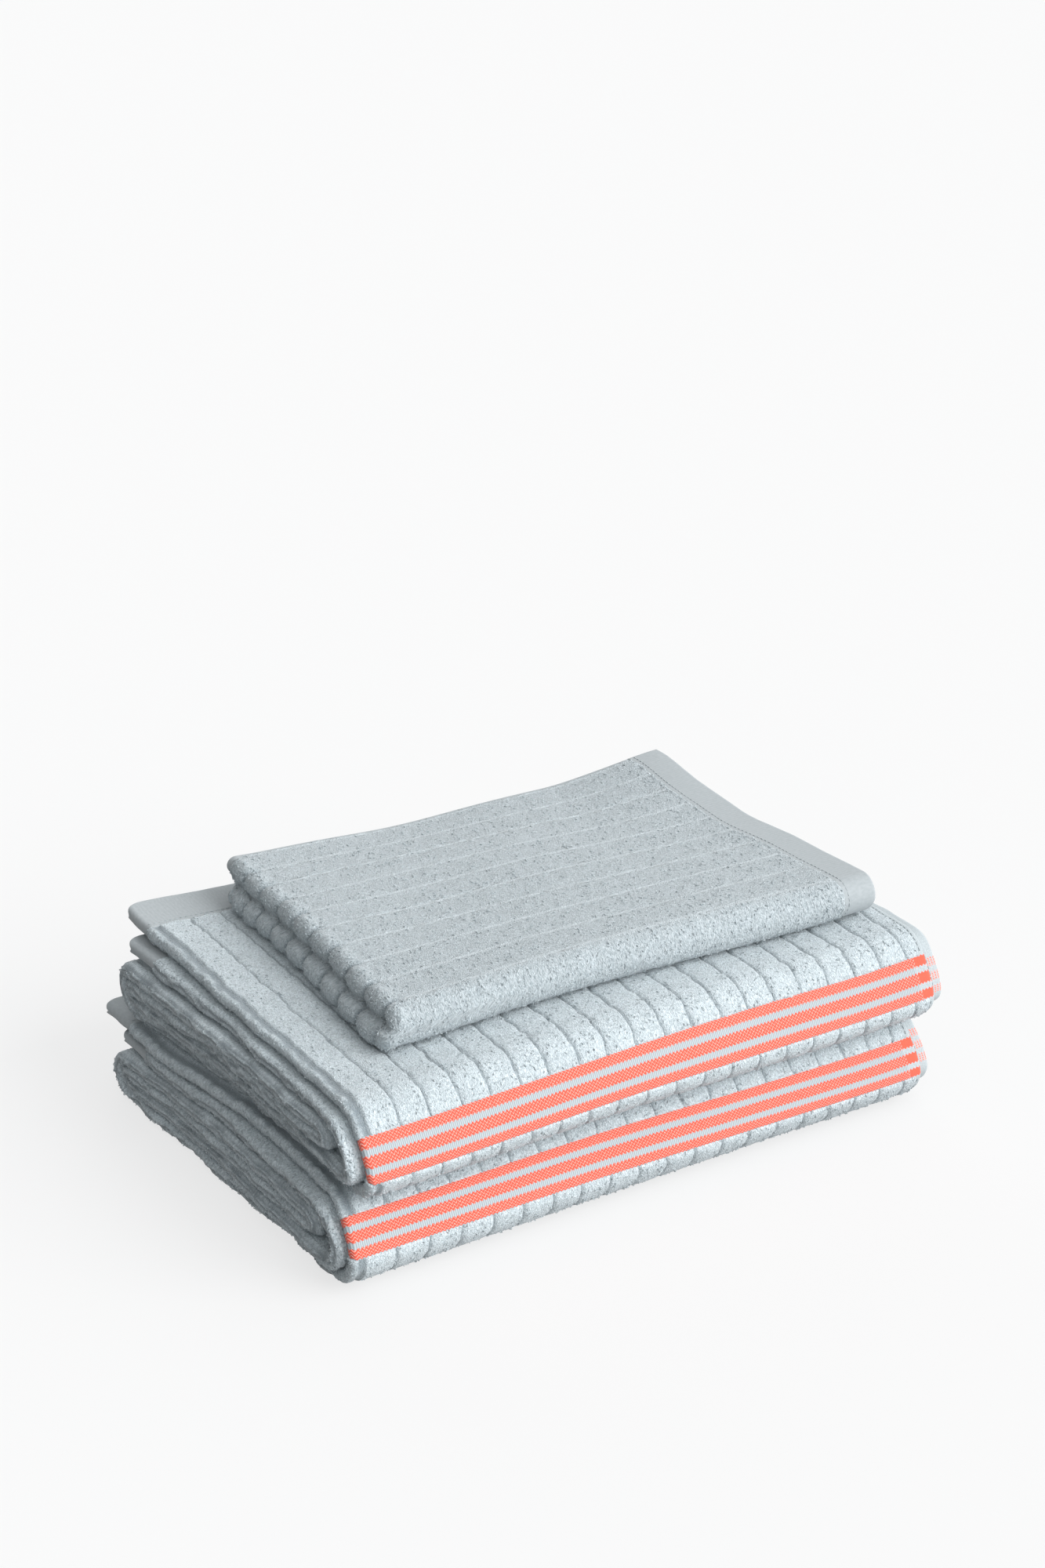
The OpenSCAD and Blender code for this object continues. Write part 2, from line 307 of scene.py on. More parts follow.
def place(towel, a, b, n):
    """Folds cloth: a runs across the towel, b along it, and n is the height off its middle."""
    x, d = along(towel.across, a, n)
    if towel.kind == "bath":
        fold = (towel.lengthwise.ends[1] + towel.lengthwise.ends[2]) / 2
        b = b - towel.skew * smooth(0, towel.bend_at, a) * np.exp(-((b - fold) / 0.05) ** 2)
    y, z = along(towel.lengthwise, b, d)
    if towel.kind == "bath":
        x = x + slide(towel, x, b)
        x, y, z = rumple(towel, x, y, z, b)
        y, z = front_sag(towel, y, z)
    else:
        x, y, z = hand_lie(towel, x, y, z)
    if towel.turn:
        c, s = math.cos(towel.turn), math.sin(towel.turn)
        x, y = towel.centre[0] + c * x - s * y, towel.centre[1] + s * x + c * y
    x, y, z = stack_drape(x, y, z)
    return np.stack([x, y, np.maximum(z, FLOOR_CLEAR)], -1)


def hand_lie(towel, x, y, z):
    """The hand towel's own lie: its back right corner stands up and its edges wander."""
    bottom = towel.lengthwise.points[-1][1] - 1.5 * towel.pitch
    share = (z - bottom) / (6 * towel.pitch)
    lift = HAND_CORNER_RISE * smooth(0.06, 0.14, x) * smooth(0.0, 0.10, y)
    lift = lift + 1.0 * MM * noise(x / 0.07, y / 0.06, 21)
    lift = lift - HAND_DIP * smooth(0.04, 0.10, y) * np.exp(-((x + 0.03) / 0.05) ** 2)
    x = x + HAND_FLARE * smooth(0.04, -0.09, y) * smooth(0.0, 0.11, x)
    low = smooth(0.56, 0.44, share)
    y = y - HAND_LOW_SHORT * low * smooth(0.02, 0.11, y) * smooth(0.04, -0.08, x)
    x = x - HAND_LOW_OUT * low * smooth(-0.02, -0.11, x)
    z = z + lift * np.clip(share, 0, 1)
    y = y + 1.6 * MM * noise(x / 0.06, share * 0.8, 22) * smooth(0.05, 0.10, np.abs(y))
    x = x + 1.2 * MM * noise(y / 0.03, share * 2.0, 23) * smooth(0.08, 0.13, np.abs(x))
    return x, y, z


# ---- Meshes -------------------------------------------------------------------------------

def zip_edges(first, first_at, second, second_at):
    """Triangles between two rows of vertices that run side by side."""
    faces, i, j = [], 0, 0
    while i < len(first) - 1 or j < len(second) - 1:
        ahead = j == len(second) - 1 or (i < len(first) - 1 and first_at[i + 1] <= second_at[j + 1])
        if ahead:
            faces.append((first[i], first[i + 1], second[j]))
            i += 1
        else:
            faces.append((first[i], second[j + 1], second[j]))
            j += 1
    return faces


def cloth_shell(name, towel, outer, inner, face_n, back_n, uv_at, marks=None, shift=None):
    """A closed sheet: a face grid, a back grid and the walls zipped between their edges."""
    points, uvs, faces, grids = [], [], [], []
    count = 0
    for (a, b), height in ((outer, face_n), (inner, back_n)):
        ga, gb = np.meshgrid(a, b, indexing="ij")
        at_b = gb if shift is None else gb + shift(ga, gb)
        points.append(place(towel, ga, at_b, height(ga, gb)).reshape(-1, 3))
        uvs.append(np.stack(uv_at(ga, gb), -1).reshape(-1, 2))
        grids.append(np.arange(count, count + ga.size).reshape(ga.shape))
        count += ga.size
    for g, flip in ((grids[0], False), (grids[1], True)):
        quad = np.stack([g[:-1, :-1], g[1:, :-1], g[1:, 1:], g[:-1, 1:]], -1).reshape(-1, 4)
        faces += (quad[:, ::-1] if flip else quad).tolist()
    top, under = grids
    for pick, at in ((lambda g: g[0], 1), (lambda g: g[-1], 1), (lambda g: g[:, 0], 0),
                     (lambda g: g[:, -1], 0)):
        faces += zip_edges(pick(top).tolist(), outer[at], pick(under).tolist(), inner[at])
    me = bpy.data.meshes.new(name)
    me.from_pydata(np.concatenate(points).tolist(), [], faces)
    uv = np.concatenate(uvs)
    layer = me.uv_layers.new(name="cloth")
    loop_vertex = np.zeros(len(me.loops), np.int32)
    me.loops.foreach_get("vertex_index", loop_vertex)
    layer.data.foreach_set("uv", uv[loop_vertex].astype(np.float32).ravel())
    if marks is not None:
        for key, value in marks.items():
            grid = np.meshgrid(*outer, indexing="ij")
            under = np.meshgrid(*inner, indexing="ij")
            mark = np.concatenate([value(*grid).ravel(), 0 * value(*under).ravel()])
            me.attributes.new(key, "FLOAT", "POINT").data.foreach_set("value", mark.astype(np.float32))
    return finished(name, me)


def hem_shell(name, towel, cols, rows, profile, uv_at, shift=None):
    """A closed hem: the same grid on both faces, each as far off the middle as the profile."""
    return cloth_shell(name, towel, (cols, rows), (cols, rows), profile,
                       lambda a, b: -profile(a, b), uv_at, shift=shift)


def finished(name, me):
    """A smooth-shaded object of this mesh, with its faces pointing outwards."""
    work = bmesh.new()
    work.from_mesh(me)
    bmesh.ops.recalc_face_normals(work, faces=work.faces)
    work.to_mesh(me)
    work.free()
    me.polygons.foreach_set("use_smooth", [True] * len(me.polygons))
    me.update()
    return linked(name, me)


# ---- Bath towel ---------------------------------------------------------------------------

def groove_places(towel):
    """Where the grooves between ribs lie, across the cloth."""
    first = towel.face_end - (towel.crease + FIRST_GROOVE_X)
    face = np.arange(first, 6 * MM, -RIB_PITCH)
    under = towel.crease_groove + RIB_PITCH * np.arange(1, 20)
    return np.concatenate([face[::-1], [towel.crease_groove], under[under < towel.across.total - 0.012]])


def groove_distance(towel, a, b):
    """Distance from the nearest groove; each groove wanders a little, as the loops do."""
    places = groove_places(towel)
    inside = smooth(towel.lengthwise.ends[2] - 12 * MM, towel.lengthwise.ends[2], b)
    middle = (towel.bend_at + towel.bend_end) / 2
    drift = inside * (middle - towel.crease_groove) * (np.abs(a - middle) < 6 * MM)
    wander = drift + 0.8 * MM * noise(b / 0.0042, a / RIB_PITCH, towel.seed + 31)
    wander = wander + 0.5 * MM * noise(b / 0.03, a / RIB_PITCH, towel.seed + 32)
    return np.abs(a - wander - places[np.abs(np.asarray(a)[..., None] - places).argmin(-1)])


def groove_width(towel, a):
    """Half the width of a groove: the one on the crease has no pile and is wide."""
    return np.where(np.abs(a - towel.crease_groove) < 3 * MM, 2.2 * MM, 0.52 * MM)


def in_groove(towel, a, b):
    """1 in the middle of a groove and 0 on the pile."""
    return np.exp(-(groove_distance(towel, a, b) / groove_width(towel, a)) ** 4)


def border_at(towel, b):
    """Distance across the striped border, 0 to its width."""
    return (b - towel.border_middle) * towel.border_scale + BORDER_W / 2


def in_border(towel, b, ease=0.5 * MM):
    """1 inside the striped border."""
    v = border_at(towel, b)
    return smooth(-ease, ease, v) * smooth(BORDER_W + ease, BORDER_W - ease, v)


def edge_round(distance, radius, height):
    """How far a soft edge has dropped at this distance from it."""
    t = np.clip(1 - distance / radius, 0, 1)
    return height * (1 - np.sqrt(1 - t * t))


def bath_terry(towel):
    """The ribbed pile, from the face selvage round the crease to the under selvage."""
    total_a, total_b = towel.across.total, towel.lengthwise.total
    grooves = groove_places(towel)
    beside = np.array([-6.2, -3.8, -1.6, -0.8, 0, 0.8, 1.6, 3.8, 6.2]) * MM
    face_cols = np.concatenate([[SIDE_HEM_SHOWN, SIDE_HEM_SHOWN + 0.7 * MM, SIDE_HEM_SHOWN + 1.6 * MM]]
                               + [g + beside for g in grooves if g < towel.bend_at])
    bend_cols = steps(towel.bend_at, towel.bend_end, 0.5 * MM)
    near = towel.bend_end + np.array([1.0, 2.2, 4, 7, 11]) * MM
    far_end = total_a - SIDE_HEM_W
    under_cols = np.concatenate([near, steps(near[-1], far_end, 24 * MM)])
    channel_edges = towel.crease_groove + np.array([-2.9, -2.3, 2.3, 2.9]) * MM
    face_cols = np.concatenate([face_cols, channel_edges])
    cols = joined(face_cols[(face_cols >= SIDE_HEM_SHOWN) & (face_cols < towel.bend_at)],
                  bend_cols, under_cols)
    ends = towel.lengthwise.ends
    first, last = towel.hem_w, total_b - towel.hem_w
    rim = np.array([0.5, 1.2, 2.0]) * MM
    border = towel.border_middle + (np.array([-0.6, 0, 0.6, 23.4, 24, 24.6]) * MM
                                    - BORDER_W / 2) / towel.border_scale
    rows = joined([first], first + rim, steps(first + 2 * MM, ends[1], 1.9 * MM),
                  steps(ends[1], ends[2], 2.2 * MM), border, steps(ends[2], ends[9], 4.2 * MM),
                  steps(ends[9], ends[10], 3 * MM), steps(ends[10], last - 2 * MM, 5 * MM),
                  last - rim, [last])
    rng = np.random.default_rng(towel.seed)

    def face_n(a, b):
        n = towel.ply / 2 - GROOVE_DEPTH * in_groove(towel, a, b)
        n = n - 0.25 * MM * (groove_distance(towel, a, b) < 1.7 * MM)
        n = n - (GROUND_DROP + 0.1 * MM) * in_border(towel, b)
        edge = np.minimum(b - first, last - b)
        n = n - edge_round(edge, 1.8 * MM, 1.5 * MM)
        n = n - edge_round(a - SIDE_HEM_SHOWN, 1.5 * MM, 1.2 * MM)
        n = n + PILE_GRAIN * (2 * rng.random(a.shape) - 1)
        return n

    def back_n(a, b):
        return np.full(a.shape, -towel.ply / 2)

    def uv_at(a, b):
        return a, b

    coarse_cols = spaced([SIDE_HEM_SHOWN, towel.bend_at, towel.bend_end, far_end],
                         [16, 1.2, 24])
    coarse_rows = spaced([first, *ends[1:11], last], [9] + [2.6, 12] * 4 + [2.6, 9])
    crease_at = (towel.bend_at + towel.bend_end) / 2

    def pile(a, b):
        """Where loops stand: everywhere on the face, thickest along the crease and the folds."""
        crease = smooth(9 * MM, 3 * MM, np.abs(a - crease_at))
        top = smooth(ends[2] + 6 * MM, ends[2], b)
        fold = smooth(ends[1] - 4 * MM, ends[1], b) * top
        share = np.maximum(0.20 * top + 0.10 * fold, crease)
        channel = smooth(3.4 * MM, 2.4 * MM, np.abs(a - towel.crease_groove))
        bare = np.maximum(np.maximum(in_groove(towel, a, b), channel), in_border(towel, b))
        return np.where(a < towel.bend_end + 5 * MM, share, 0) * (1 - bare)

    return cloth_shell(f"{towel.name}_ribbed_terry", towel, (cols, rows), (coarse_cols, coarse_rows),
                       face_n, back_n, uv_at,
                       # The first mark darkens the grooves and the crease channel: painted shade.
                       {"groove": lambda a, b: in_groove(towel, a, b),
                        # The second mark, a painted highlight, is nil on the bath towel.
                        "seam": lambda a, b: 0 * a, "pile": pile})


def bath_border(towel):
    """The flat-woven band with three stripes, over the front fold."""
    reach = 0.8 * MM
    start = towel.border_middle - (BORDER_W / 2 + reach) / towel.border_scale
    end = towel.border_middle + (BORDER_W / 2 + reach) / towel.border_scale
    left = towel.bend_end + 4 * MM
    cols = spaced([SIDE_HEM_W - 1 * MM, towel.bend_at, towel.bend_end, left], [1.2, 0.4, 1.0])
    rows = steps(start, end, 0.42 * MM)
    level = towel.ply / 2 - 0.75 * MM

    def face_n(a, b):
        v = border_at(towel, b)
        return level + 0.28 * MM * stripe_mask(a, v) - 0.5 * MM * smooth(0, -reach, v) \
            - 0.5 * MM * smooth(BORDER_W, BORDER_W + reach, v)

    def back_n(a, b):
        return np.full(a.shape, -towel.ply / 2 + 0.4 * MM)

    coarse = (spaced([cols[0], towel.bend_at, towel.bend_end, left], [14, 1.0, 2]),
              steps(start, end, 2.4 * MM))
    return cloth_shell(f"{towel.name}_stripe_band", towel, (cols, rows), coarse, face_n, back_n,
                       lambda a, b: (a, border_at(towel, b)))


def stripe_mask(a, v):
    """1 on the three raised stripes; their edges are scalloped by the floats."""
    edge = SCALLOP * np.sin(2 * math.pi * a / FLOAT_PITCH)
    within = np.mod(v + 0 * a, STRIPE_STEP) + edge
    return smooth(-0.3 * MM, 0.3 * MM, within) * smooth(STRIPE_W + 0.3 * MM, STRIPE_W - 0.3 * MM, within)


def bath_end_hem(towel, which):
    """A flat-woven end hem: two plies joined at the crease."""
    total = towel.lengthwise.total
    start, end = (0, towel.hem_w + 1.5 * MM) if which == "outer" else \
        (total - towel.hem_w - 1.5 * MM, total)
    free = start if which == "outer" else end
    a_end = towel.across.total
    cols = spaced([0, 3 * MM, towel.bend_at - 8 * MM, towel.bend_end + 8 * MM,
                   a_end - 3 * MM, a_end], [0.6, 4, 0.6, 8, 0.6])
    near_free = np.array([0, 0.3, 0.7, 1.2, 1.8]) * MM
    rows = joined(steps(start, end, 1.5 * MM),
                  start + near_free if which == "outer" else end - near_free)

    def profile(a, b):
        edge = np.minimum(np.abs(b - free), np.minimum(a, a_end - a))
        ripple = 0.10 * MM * noise(a / 0.004, b / 0.03, towel.seed + 41)
        return HEM_PLY / 2 - edge_round(edge, 1.4 * MM, 0.75 * MM) + ripple

    crease_at = (towel.bend_at + towel.bend_end) / 2

    def corner(a, b):
        near = np.clip(1 - np.abs(a - crease_at) / HEM_CORNER, 0, 1)
        drop = HEM_CORNER * (1 - np.sqrt(1 - near ** 2)) * (1 if free == start else -1)
        ripple = 0.5 * MM * noise(a / 0.03, np.zeros_like(a), towel.seed + 43)
        return (drop + ripple) * np.clip(1 - np.abs(b - free) / towel.hem_w, 0, 1)

    return hem_shell(f"{towel.name}_woven_{which}_hem", towel, cols, rows, profile,
                     lambda a, b: (a, np.abs(b - free)), shift=corner)


def bath_side_hem(towel, which):
    """The turned hem along one selvage, all the way round the folds."""
    a_end = towel.across.total
    cols = (np.array([0, 0.3, 0.7, 1.2, 2, 3, 4, 5, 6, 7, 8, 9]) * MM) if which == "face" else \
        a_end - (np.array([12, 10, 8, 7, 6, 5, 4, 3, 2, 1.2, 0.7, 0.3, 0]) * MM)
    free = 0 if which == "face" else a_end
    ends = towel.lengthwise.ends
    start, end = towel.hem_w, towel.lengthwise.total - towel.hem_w
    rows = spaced([start, *ends[1:11], end], [3] + [1.2, 5] * 5)

    def profile(a, b):
        edge = np.abs(a - free)
        level = towel.ply / 2 - (0.85 if which == "face" else 0.6) * MM
        return level - edge_round(edge, 1.6 * MM, 0.8 * MM) \
            + 0.12 * MM * noise(b / 0.005, a / 0.003, towel.seed + 51)

    return hem_shell(f"{towel.name}_{which}_selvage", towel, cols, rows, profile,
                     lambda a, b: (np.abs(a - free), border_at(towel, b)))


# ---- Hand towel ---------------------------------------------------------------------------

def hand_rib(towel, b):
    """Place across a rib of the hand towel: 0 on its crown, half a pitch away in a groove."""
    from_front = b - (towel.lengthwise.ends[1] + towel.lengthwise.lengths[1] / 2)
    return np.mod(from_front / HAND_RIB_PITCH + 0.5, 1) - 0.5


def hand_terry(towel):
    """The hand towel's ribbed pile; its ribs run the other way, along the front fold."""
    first = 2.5 * MM
    last = towel.lengthwise.total - first
    ends_a, ends_b = towel.across.ends, towel.lengthwise.ends
    total_a = towel.across.total
    cols = joined(spaced([towel.hem_w, ends_a[1] - 12 * MM, ends_a[2] + 12 * MM, *ends_a[3:5],
                          total_a - towel.hem_w], [2.2, 0.9, 14, 1.0, 14]),
                  towel.hem_w + np.array([0.5, 1.2, 2]) * MM)
    front = ends_b[1] + towel.lengthwise.lengths[1] / 2
    rib_grooves = front + (np.arange(-12, 12) + 0.5) * HAND_RIB_PITCH
    rows = joined(spaced([first, *ends_b[1:3], last], [1.5, 1.2, 1.7]),
                  first + np.array([0.5, 1.2, 2]) * MM,
                  *[g + np.array([-1.4, -0.7, 0, 0.7, 1.4]) * MM for g in rib_grooves])
    rows = rows[(rows >= first) & (rows <= last)]
    rng = np.random.default_rng(towel.seed)

    def bend_weight(a):
        middle = (ends_a[1] + ends_a[2]) / 2
        return smooth(12 * MM, 4.5 * MM, np.abs(a - middle))

    def phase_at(a, b):
        """The ribs bow a little where they go round the left fold."""
        bow = np.cos((a - (ends_a[1] + ends_a[2]) / 2) / (7 * MM)) * bend_weight(a)
        return hand_rib(towel, b + 1.2 * MM * bow)

    def groove(a, b):
        phase = phase_at(a, b)
        return np.exp(-((np.abs(phase) - 0.5) * HAND_RIB_PITCH / (0.9 * MM)) ** 2)

    def face_n(a, b):
        phase = phase_at(a, b)
        crown = 1 - np.sqrt(np.clip(1 - (2 * np.abs(phase)) ** 2.4, 0, 1))
        n = towel.ply / 2 - 0.30 * MM * crown - HAND_PILLOW * bend_weight(a) * crown
        n = n + 1.1 * MM * bend_weight(a) - 1.2 * MM * bend_weight(a) * groove(a, b)
        n = n - edge_round(a - towel.hem_w, 1.8 * MM, 1.5 * MM)
        n = n - edge_round(np.minimum(b - first, last - b), 1.8 * MM, 1.5 * MM)
        return n + PILE_GRAIN * (2 * rng.random(a.shape) - 1)

    def back_n(a, b):
        return np.full(a.shape, -towel.ply / 2)

    def pile(a, b):
        shown = (b < last - 40 * MM) | (bend_weight(a) > 0)
        share = 0.22 + 0.55 * bend_weight(a) + 0.15 * smooth(ends_b[1] - 4 * MM, ends_b[1], b) \
            * smooth(ends_b[2] + 4 * MM, ends_b[2], b)
        return np.where(a < ends_a[2] + 6 * MM, share * np.where(shown, 1.0, 0.4), 0) \
            * (1 - np.minimum(1, 2 * groove(a, b)))

    coarse = (spaced([towel.hem_w, *ends_a[1:5], total_a - towel.hem_w], [14, 1.5, 14, 1.0, 14]),
              spaced([first, *ends_b[1:3], last], [12, 2, 12]))
    return cloth_shell(f"{towel.name}_ribbed_terry", towel, (cols, rows), coarse, face_n, back_n,
                       lambda a, b: (b, a),
                       # The first mark darkens the gaps between the pillows where the ribs go round the
                       # left fold: painted shade.
                       {"groove": lambda a, b: groove(a, b) * bend_weight(a),
                        # The second mark paints pale lines along the grooves on the flat top: painted
                        # highlight.
                        "seam": lambda a, b: groove(a, b) * (1 - bend_weight(a)),
                        "pile": pile})


def hand_end_hem(towel, which):
    """A flat-woven end hem of the hand towel."""
    total = towel.across.total
    start, end = (0, towel.hem_w + 1.5 * MM) if which == "outer" else \
        (total - towel.hem_w - 1.5 * MM, total)
    free = 0 if which == "outer" else total
    ends_b = towel.lengthwise.ends
    near = np.array([0, 0.3, 0.7, 1.2, 1.8]) * MM
    cols = joined(steps(start, end, 1.5 * MM), near if which == "outer" else total - near)
    rows = joined(steps(0, 3 * MM, 0.6 * MM), steps(3 * MM, ends_b[1], 3 * MM),
                  steps(ends_b[1], ends_b[2], 1.0 * MM),
                  steps(ends_b[2], towel.lengthwise.total - 3 * MM, 5 * MM),
                  towel.lengthwise.total - near)

    def profile(a, b):
        edge = np.minimum(np.abs(a - free), np.minimum(b, towel.lengthwise.total - b))
        ripple = 0.10 * MM * noise(b / 0.004, a / 0.03, towel.seed + 41)
        return HEM_PLY / 2 - edge_round(edge, 1.4 * MM, 0.75 * MM) + ripple

    return hem_shell(f"{towel.name}_woven_{which}_hem", towel, cols, rows, profile,
                     lambda a, b: (b, np.abs(a - free)))


def hand_side_hem(towel, which):
    """The turned hem along one selvage of the hand towel."""
    rows = np.array([0, 0.3, 0.7, 1.2, 2, 3, 4, 5, 6, 7.5]) * MM
    free = 0
    if which == "under":
        free = towel.lengthwise.total
        rows = free - rows[::-1]
    ends_a = towel.across.ends
    start, end = towel.hem_w, towel.across.total - towel.hem_w
    cols = spaced([start, *ends_a[1:5], end], [4, 1.0, 4, 1.0, 4])

    def profile(a, b):
        return towel.ply / 2 - 0.7 * MM - edge_round(np.abs(b - free), 1.6 * MM, 0.8 * MM)

    return hem_shell(f"{towel.name}_{which}_selvage", towel, cols, rows, profile,
                     lambda a, b: (np.abs(b - free), a))


# ---- What repeats: loops of pile and stitches ----------------------------------------------

def node_tree(name, sizes):
    """An empty geometry node tree with named inputs for its sizes."""
    tree = bpy.data.node_groups.new(name, "GeometryNodeTree")
    face = tree.interface
    face.new_socket("Geometry", in_out="INPUT", socket_type="NodeSocketGeometry")
    for key, value in sizes.items():
        kind = "NodeSocketInt" if isinstance(value, int) else "NodeSocketFloat"
        face.new_socket(key, in_out="INPUT", socket_type=kind).default_value = value
    face.new_socket("Geometry", in_out="OUTPUT", socket_type="NodeSocketGeometry")
    return tree, tree.nodes.new("NodeGroupInput"), tree.nodes.new("NodeGroupOutput")


def ended(tree, geometry, material, output):
    """Every tree ends in real, smooth, painted geometry."""
    real = node(tree, "GeometryNodeRealizeInstances", {0: geometry})
    soft = node(tree, "GeometryNodeSetShadeSmooth", {0: real})
    painted = node(tree, "GeometryNodeSetMaterial", {0: soft, "Material": material})
    tree.links.new(painted.outputs[0], output.inputs[0])


def loops_tree(material):
    """Loops of yarn that stand on the pile, as thick as the attribute says."""
    tree, given, output = node_tree("pile_loops", {
        "Loop Radius": LOOP_RADIUS, "Yarn Radius": YARN_RADIUS, "Loops per Area": PILE_LOOPS,
        "Seed": 7})
    size, seed = given.outputs, {"Seed": given.outputs["Seed"]}
    share = node(tree, "GeometryNodeInputNamedAttribute", {"Name": "pile"}, data_type="FLOAT")
    amount = node(tree, MATH, {0: share, 1: size["Loops per Area"]}, operation="MULTIPLY")
    spots = node(tree, "GeometryNodeDistributePointsOnFaces",
                 {"Mesh": given, "Density": amount, **seed})
    arc = node(tree, "GeometryNodeCurveArc", {
        "Radius": size["Loop Radius"], "Resolution": 4,
        "Start Angle": math.radians(-20), "Sweep Angle": math.radians(220)})
    yarn = node(tree, "GeometryNodeCurvePrimitiveCircle",
                {"Radius": size["Yarn Radius"], "Resolution": 3})
    tube = node(tree, "GeometryNodeCurveToMesh", {"Curve": arc, "Profile Curve": yarn})
    upright = node(tree, "GeometryNodeTransform",
                   {0: tube, "Rotation": (math.radians(90), 0, 0)})
    lean = node(tree, "FunctionNodeRandomValue",
                {**seed, 0: (-LOOP_LEAN, -LOOP_LEAN, 0), 1: (LOOP_LEAN, LOOP_LEAN, 2 * math.pi)},
                data_type="FLOAT_VECTOR")
    growth = node(tree, "FunctionNodeRandomValue", {**seed, 2: 0.7, 3: 1.25}, data_type="FLOAT")
    planted = node(tree, "GeometryNodeInstanceOnPoints", {
        "Points": spots, "Instance": upright, "Rotation": spots.outputs["Rotation"],
        "Scale": growth.outputs[1]})
    turned = node(tree, "GeometryNodeRotateInstances", {"Instances": planted, "Rotation": lean})
    ended(tree, turned, material, output)
    return tree


def stitches_tree(material):
    """Lock stitches that follow the rows they are given, one after another."""
    tree, given, output = node_tree("hem_stitches", {
        "Stitch Pitch": STITCH_PITCH, "Stitch Length": STITCH_LENGTH, "Thread Radius": THREAD_RADIUS})
    size = given.outputs
    rows = node(tree, "GeometryNodeMeshToCurve", {0: given})
    spaced = node(tree, "GeometryNodeResampleCurve",
                  {"Curve": rows, "Length": size["Stitch Pitch"]}, mode="LENGTH")
    ball = node(tree, "GeometryNodeMeshUVSphere", {"Segments": 6, "Rings": 4, "Radius": 1.0})
    half = node(tree, MATH, {0: size["Stitch Length"], 1: 0.5}, operation="MULTIPLY")
    shape = node(tree, "ShaderNodeCombineXYZ",
                 {0: half, 1: size["Thread Radius"], 2: size["Thread Radius"]})
    stitch = node(tree, "GeometryNodeTransform", {0: ball, "Scale": shape})
    tangent = node(tree, "GeometryNodeInputTangent")
    aim = node(tree, "FunctionNodeAlignRotationToVector", {"Vector": tangent}, axis="X")
    sewn = node(tree, "GeometryNodeInstanceOnPoints",
                {"Points": spaced, "Instance": stitch, "Rotation": aim})
    ended(tree, sewn, material, output)
    return tree


def grown(name, carrier, tree):
    """The tree's result on a carrier as a plain mesh of its own."""
    modifier = carrier.modifiers.new("grown", "NODES")
    modifier.node_group = tree
    for item in tree.interface.items_tree:
        if item.in_out == "INPUT" and item.socket_type != "NodeSocketGeometry":
            modifier[item.identifier] = item.default_value
    bpy.context.view_layer.update()
    shape = carrier.evaluated_get(bpy.context.evaluated_depsgraph_get())
    me = bpy.data.meshes.new_from_object(shape)
    carrier.modifiers.remove(modifier)
    me.name = name
    return linked(name, me)


def stitch_rows(name, towel, rows):
    """Stitches along rows of the cloth, each given by its a and b values and its height."""
    points, edges = [], []
    for a, b, n in rows:
        count = len(points)
        line = place(towel, *[np.array(v, float) for v in np.broadcast_arrays(a, b, n)])
        points += line.tolist()
        edges += [(count + i, count + i + 1) for i in range(len(line) - 1)]
    me = bpy.data.meshes.new(name)
    me.from_pydata(points, edges, [])
    carrier = linked(name, me)
    sewn = grown(f"{name}_stitches", carrier, stitches_tree(MATERIALS["thread"]))
    bpy.data.objects.remove(carrier)
    return sewn


def bath_stitches(towel):
    across = towel.across
    a = steps(3 * MM, towel.bend_at, 2 * MM)
    b = steps(towel.hem_w, towel.lengthwise.total - towel.hem_w, 2 * MM)
    end_n, side_n = HEM_PLY / 2 + 0.1 * MM, towel.ply / 2 - 0.7 * MM
    rows = [(a, towel.hem_w - STITCH_INSET, end_n),
            (a, towel.lengthwise.total - towel.hem_w + STITCH_INSET, end_n),
            *[(SIDE_HEM_SHOWN - 0.9 * MM, run, side_n)
              for run in (b[border_at(towel, b) < -2 * MM],
                          b[border_at(towel, b) > BORDER_W + 2 * MM])],
            (across.total - 6 * MM, b, -towel.ply / 2 + 0.55 * MM)]
    return stitch_rows(towel.name, towel, rows)


def hand_stitches(towel):
    b = steps(3 * MM, towel.lengthwise.total - 3 * MM, 2 * MM)
    n = HEM_PLY / 2 + 0.1 * MM
    rows = [(towel.hem_w - STITCH_INSET, b, n),
            (towel.across.total - towel.hem_w + STITCH_INSET, b, n)]
    return stitch_rows(towel.name, towel, rows)


# ---- Materials ----------------------------------------------------------------------------

def colour(code):
    """A linear colour from an sRGB hex value."""
    parts = [int(code[i:i + 2], 16) / 255 for i in (1, 3, 5)]
    return tuple(c / 12.92 if c <= 0.04045 else ((c + 0.055) / 1.055) ** 2.4 for c in parts) + (1,)


def node(tree, kind, inputs=None, stops=(), **settings):
    """Adds a node with its settings, a ramp's colour stops and its inputs: each is a value, a
    socket to link, or a node, which stands for its first output."""
    made = tree.nodes.new(kind)
    for key, value in settings.items():
        setattr(made, key, value)
    for key, value in (inputs or {}).items():
        value = value.outputs[0] if isinstance(value, bpy.types.Node) else value
        if isinstance(value, bpy.types.NodeSocket):
            tree.links.new(value, made.inputs[key])
        else:
            made.inputs[key].default_value = value
    while stops and len(made.color_ramp.elements) < len(stops):
        made.color_ramp.elements.new(0.5)
    for element, (position, code) in zip(made.color_ramp.elements if stops else (), stops):
        element.position = position
        element.color = colour(code)
    return made


def new_material(name, roughness, sheen):
    """A cloth material: its tree, its shader and its cloth coordinates."""
    made = bpy.data.materials.new(name)
    made.use_nodes = True
    tree = made.node_tree
    shader = tree.nodes["Principled BSDF"]
    for key, value in (("Roughness", roughness), ("Specular IOR Level", 0.25),
                       ("Sheen Weight", sheen), ("Sheen Roughness", 0.5)):
        shader.inputs[key].default_value = value
    return made, tree, shader, node(tree, "ShaderNodeUVMap", uv_map="cloth")


